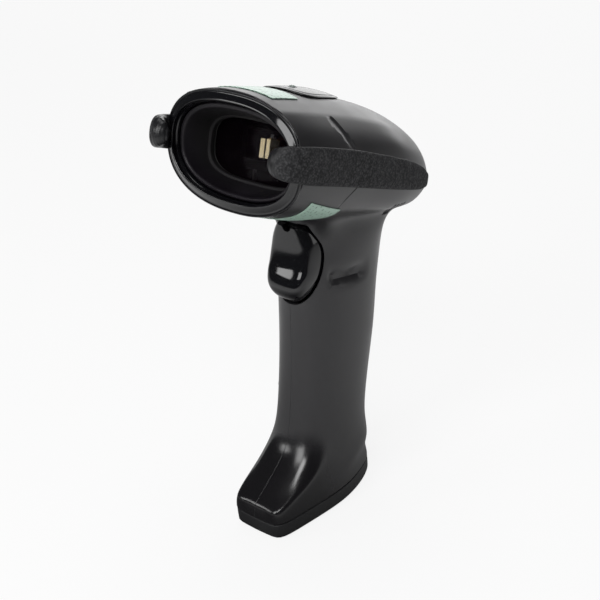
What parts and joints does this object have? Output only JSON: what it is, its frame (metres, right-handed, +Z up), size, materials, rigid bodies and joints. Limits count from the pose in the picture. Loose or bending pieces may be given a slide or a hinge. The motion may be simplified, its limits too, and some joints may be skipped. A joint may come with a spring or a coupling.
{
  "type": "handheld barcode scanner",
  "caption": "Pistol-grip handheld laser barcode scanner: hooded oval mouth with a recessed window, side bumpers, finger trigger and a flat base with a modular cord socket.",
  "frame": {"origin": "on the flat face of the base that the scanner stands on, on the symmetry plane, halfway from toe to heel", "axes": "+Z up out of the base, -Y the way the mouth looks, +X to the scanner's own left seen from behind the mouth (the near side seen from its front right)"},
  "size_m": [0.0698, 0.0996, 0.1765],
  "materials": {
    "satin_black": "fine satin moulded plastic",
    "gloss_black": "polished",
    "liner_black": "matt",
    "rubber_grey": "fine pebble grain",
    "window_tint": "clear, dark red tint",
    "label_green": "satin printed label",
    "lens_clear": "clear moulding",
    "steel": "plain",
    "brass": "polished",
    "copper_wire": "wound enamelled copper wire",
    "die_cast_alloy": "as cast",
    "circuit_green": "solder resist on glass-fibre board",
    "chip_black": "moulded epoxy",
    "white_plastic": "moulded"
  },
  "bodies": {
    "housing": {"base_cap": "satin_black", "beeper": "chip_black", "board_screw_left": "steel", "board_screw_right": "steel", "bumper_left": "rubber_grey", "bumper_right": "rubber_grey", "cable_connector": "white_plastic", "cable_socket": "chip_black", "cap_screw_left": "steel", "cap_screw_right": "steel", "collector_mirror": "steel", "decoder_chip": "chip_black", "drive_coil": "copper_wire", "engine_board": "circuit_green", "engine_chassis": "die_cast_alloy", "engine_connector": "white_plastic", "engine_screw_left": "steel", "engine_screw_right": "steel", "flex_connector": "white_plastic", "front_bezel": "gloss_black", "housing_left": "satin_black", "housing_right": "satin_black", "housing_screw_1": "steel", "housing_screw_2": "steel", "housing_screw_3": "steel", "indicator_board": "circuit_green", "indicator_led": "white_plastic", "indicator_lens": "lens_clear", "laser_lens": "lens_clear", "laser_module": "brass", "main_board": "circuit_green", "memory_chip": "chip_black", "mirror_pin": "steel", "mouth_liner": "liner_black", "photodiode": "chip_black", "ribbon_cable": "white_plastic", "scan_window": "window_tint", "signal_chip": "chip_black", "socket_contacts": "brass", "switch_body": "chip_black", "top_cover": "gloss_black", "top_label": "label_green", "trigger_pin": "steel", "trigger_spring": "steel", "underside_label": "label_green", "window_seal": "rubber_grey"},
    "trigger": {"trigger": "gloss_black"},
    "switch_plunger": {"switch_plunger": "white_plastic"},
    "mirror": {"scan_mirror": "brass", "mirror_carrier": "brass", "mirror_magnet": "steel"}
  },
  "joints": [
    {"name": "trigger_hinge", "type": "hinge", "parent": "housing", "child": "trigger", "pos_m": [0, 0.0125, 0.1148], "axis": [1, 0, 0], "range_deg": [0, 5], "stiffness_Nm_per_rad": 0.1, "springref_deg": -2.86, "deforming": ["trigger_spring"]},
    {"name": "plunger_slide", "type": "slide", "parent": "housing", "child": "switch_plunger", "axis": [0, 0.9816, -0.1908], "range_m": [0, 0.0014]},
    {"name": "mirror_hinge", "type": "hinge", "parent": "housing", "child": "mirror", "pos_m": [-0.003, 0.00296, 0.14836], "axis": [0, 0.309, 0.9511], "range_deg": [-10, 10], "stiffness_Nm_per_rad": 0.0005}
  ],
  "couplings": [
    {"joint": "plunger_slide", "follows": "trigger_hinge", "m_per_rad": 0.0148}
  ]
}
